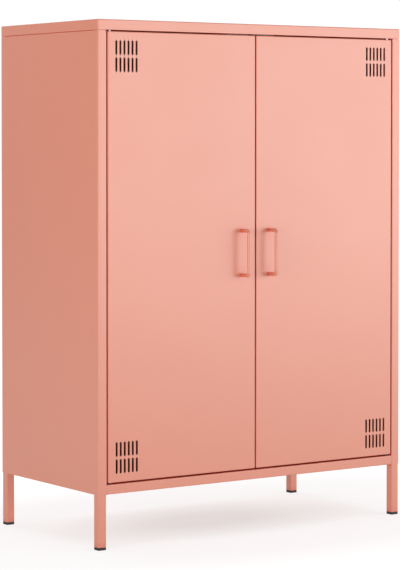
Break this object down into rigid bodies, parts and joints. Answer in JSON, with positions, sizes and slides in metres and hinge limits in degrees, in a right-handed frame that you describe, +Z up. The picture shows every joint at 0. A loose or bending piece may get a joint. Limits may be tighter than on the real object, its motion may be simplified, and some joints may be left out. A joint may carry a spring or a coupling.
{
  "type": "locker cabinet",
  "caption": "Upright steel locker cabinet on square legs, with hinged double doors, vent slots, bow handles and adjustable shelves for storage.",
  "frame": {"origin": "on the floor, under the centre of the overall box, handles included", "axes": "+X to the user's right, the doors face -Y, +Z up"},
  "size_m": [0.805, 0.4316, 1.1],
  "materials": {
    "powder_coat": "satin powder coat",
    "zinc_steel": "zinc plated",
    "black_plastic": "moulded",
    "white_plastic": "moulded",
    "nylon": "moulded",
    "rubber": "matt",
    "ferrite": "ground"
  },
  "bodies": {
    "cabinet": {"back_panel": "powder_coat", "back_panel_screws": "zinc_steel", "bottom_panel": "powder_coat", "bottom_panel_nuts": "zinc_steel", "bottom_panel_screws": "zinc_steel", "catch_screws": "zinc_steel", "door_stop": "powder_coat", "door_stop_buttons": "rubber", "door_stop_screws": "zinc_steel", "front_left_foot": "black_plastic", "front_left_leg": "powder_coat", "front_right_foot": "black_plastic", "front_right_leg": "powder_coat", "left_bottom_pivot": "zinc_steel", "left_catch_housing": "white_plastic", "left_catch_magnet": "ferrite", "left_front_shelf_rail": "powder_coat", "left_rear_shelf_rail": "powder_coat", "left_side_panel": "powder_coat", "left_top_pivot": "zinc_steel", "lower_shelf": "powder_coat", "lower_shelf_clips": "zinc_steel", "lower_shelf_stiffener": "powder_coat", "rear_left_foot": "black_plastic", "rear_left_leg": "powder_coat", "rear_right_foot": "black_plastic", "rear_right_leg": "powder_coat", "right_bottom_pivot": "zinc_steel", "right_catch_housing": "white_plastic", "right_catch_magnet": "ferrite", "right_front_shelf_rail": "powder_coat", "right_rear_shelf_rail": "powder_coat", "right_side_panel": "powder_coat", "right_top_pivot": "zinc_steel", "top_panel": "powder_coat", "top_panel_nuts": "zinc_steel", "top_panel_screws": "zinc_steel", "upper_shelf": "powder_coat", "upper_shelf_clips": "zinc_steel", "upper_shelf_stiffener": "powder_coat"},
    "left_door": {"left_door_bottom_bush": "nylon", "left_door_panel": "powder_coat", "left_door_stiffener": "powder_coat", "left_door_top_bush": "nylon", "left_handle": "powder_coat", "left_handle_screws": "zinc_steel", "left_strike_plate": "zinc_steel"},
    "right_door": {"right_door_bottom_bush": "nylon", "right_door_panel": "powder_coat", "right_door_stiffener": "powder_coat", "right_door_top_bush": "nylon", "right_handle": "powder_coat", "right_handle_screws": "zinc_steel", "right_strike_plate": "zinc_steel"}
  },
  "joints": [
    {"name": "left_door_hinge", "type": "hinge", "parent": "cabinet", "child": "left_door", "pos_m": [-0.37, -0.1784, 0.607], "axis": [0, 0, -1], "range_deg": [0, 110]},
    {"name": "right_door_hinge", "type": "hinge", "parent": "cabinet", "child": "right_door", "pos_m": [0.37, -0.1784, 0.607], "axis": [0, 0, 1], "range_deg": [0, 110]}
  ]
}
